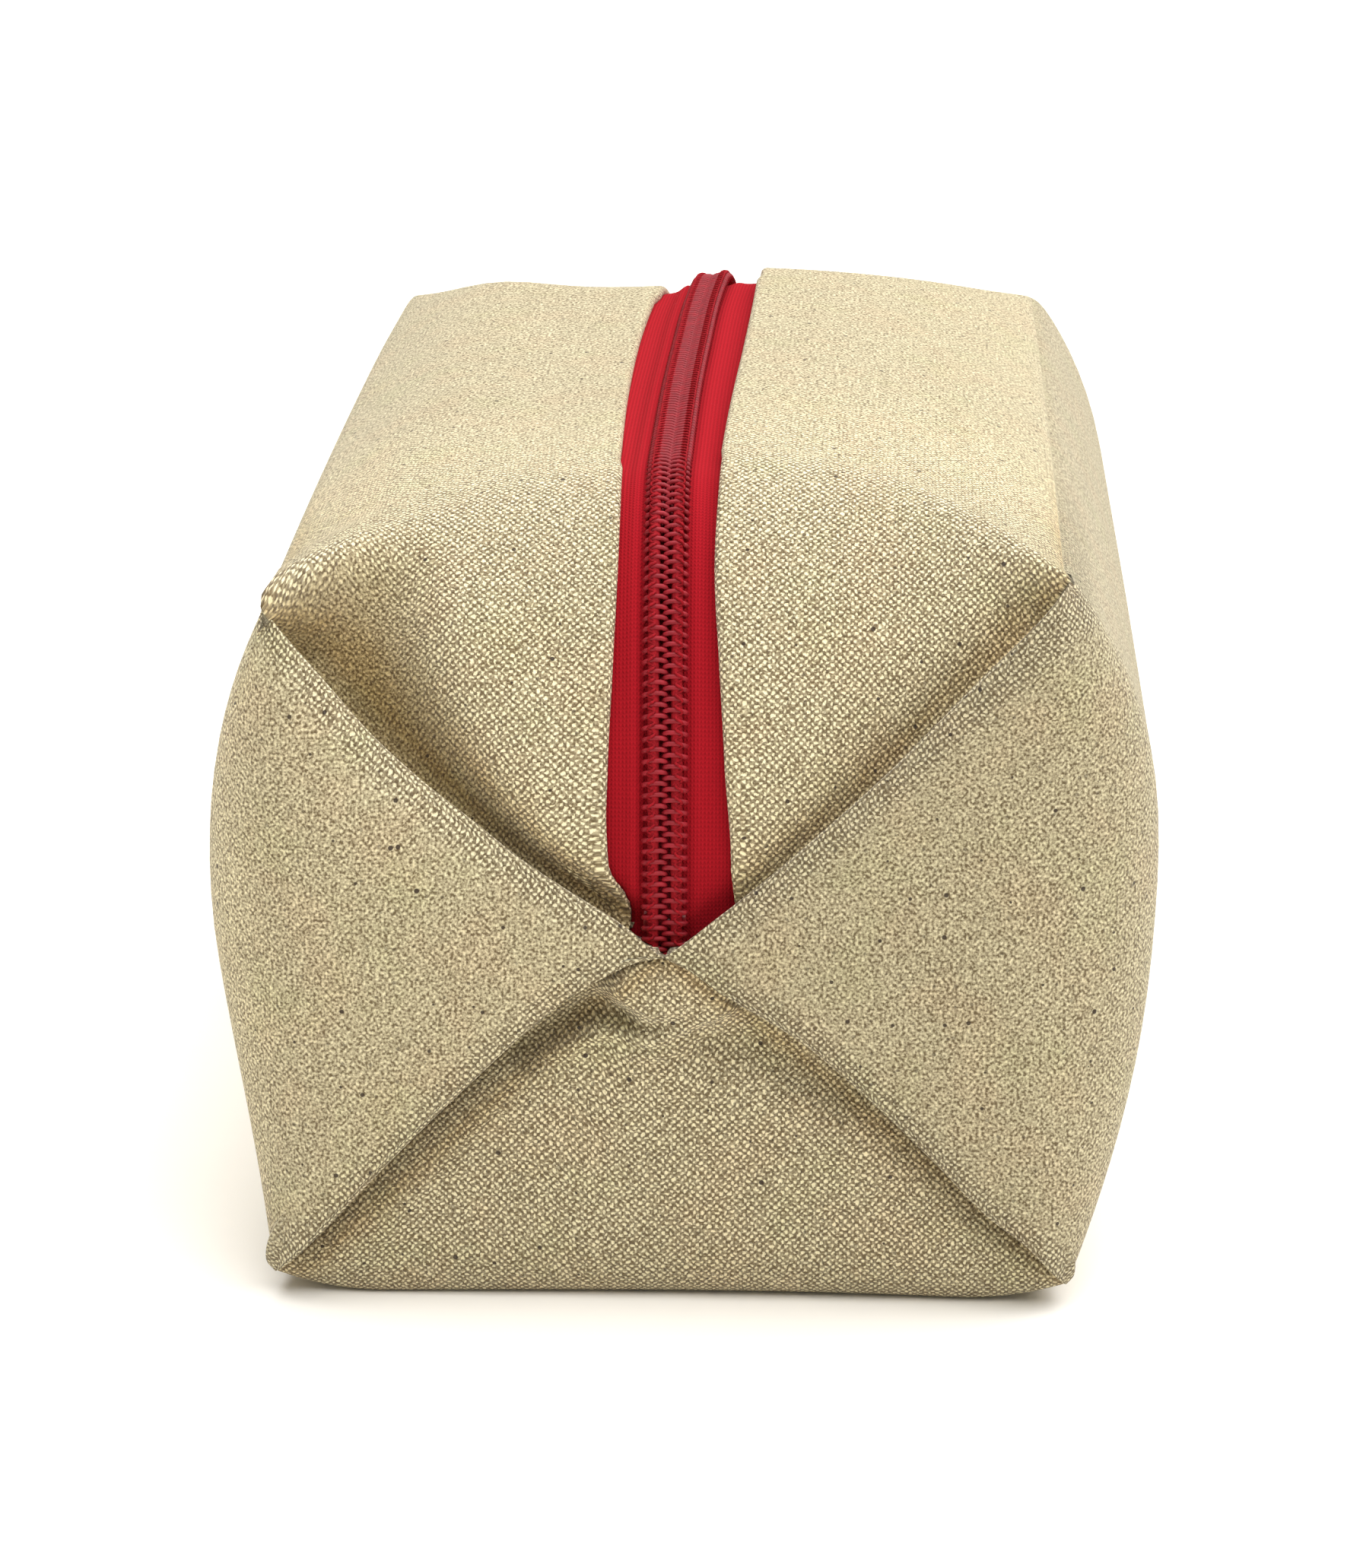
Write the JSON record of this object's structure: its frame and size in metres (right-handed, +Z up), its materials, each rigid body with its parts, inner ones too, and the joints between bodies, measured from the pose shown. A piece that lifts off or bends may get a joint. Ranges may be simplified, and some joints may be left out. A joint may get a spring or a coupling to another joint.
{
  "type": "canvas zip pouch",
  "caption": "Box shaped unlined canvas pouch with parcel-folded ends and a coil zip down one end, over the top and down the other.",
  "frame": {"origin": "middle of the flat base, on the surface the pouch stands on", "axes": "+X across the pouch to its right, +Y along it from the pictured end to the slider end, +Z up"},
  "size_m": [0.1267, 0.2164, 0.11],
  "materials": {
    "canvas": "unbleached plain-weave cotton canvas",
    "binding": "cotton twill tape",
    "tape": "knitted polyester, matt",
    "coil": "nylon monofilament, semi-gloss",
    "zip_paint": "red enamel on zinc",
    "spring_steel": "plain"
  },
  "bodies": {
    "pouch": {"canvas_shell": "canvas", "front_seam_binding": "binding", "rear_seam_binding": "binding", "left_zip_tape": "tape", "right_zip_tape": "tape", "left_zip_coil": "coil", "right_zip_coil": "coil", "left_top_stop": "zip_paint", "right_top_stop": "zip_paint", "bottom_stop": "zip_paint"},
    "slider": {"slider_body": "zip_paint", "slider_cap": "zip_paint", "lock_spring": "spring_steel"},
    "pull": {"pull_tab": "zip_paint"}
  },
  "joints": [
    {"name": "slider_travel", "type": "hinge", "parent": "pouch", "child": "slider", "pos_m": [0, 0.0574, 0.0645], "axis": [1, 0, 0], "range_deg": [0, 85], "deforming": ["left_zip_coil", "right_zip_coil"]},
    {"name": "pull_swing", "type": "hinge", "parent": "slider", "child": "pull", "pos_m": [0, 0.10582, 0.06482], "axis": [1, 0, 0], "range_deg": [0, 150]}
  ]
}
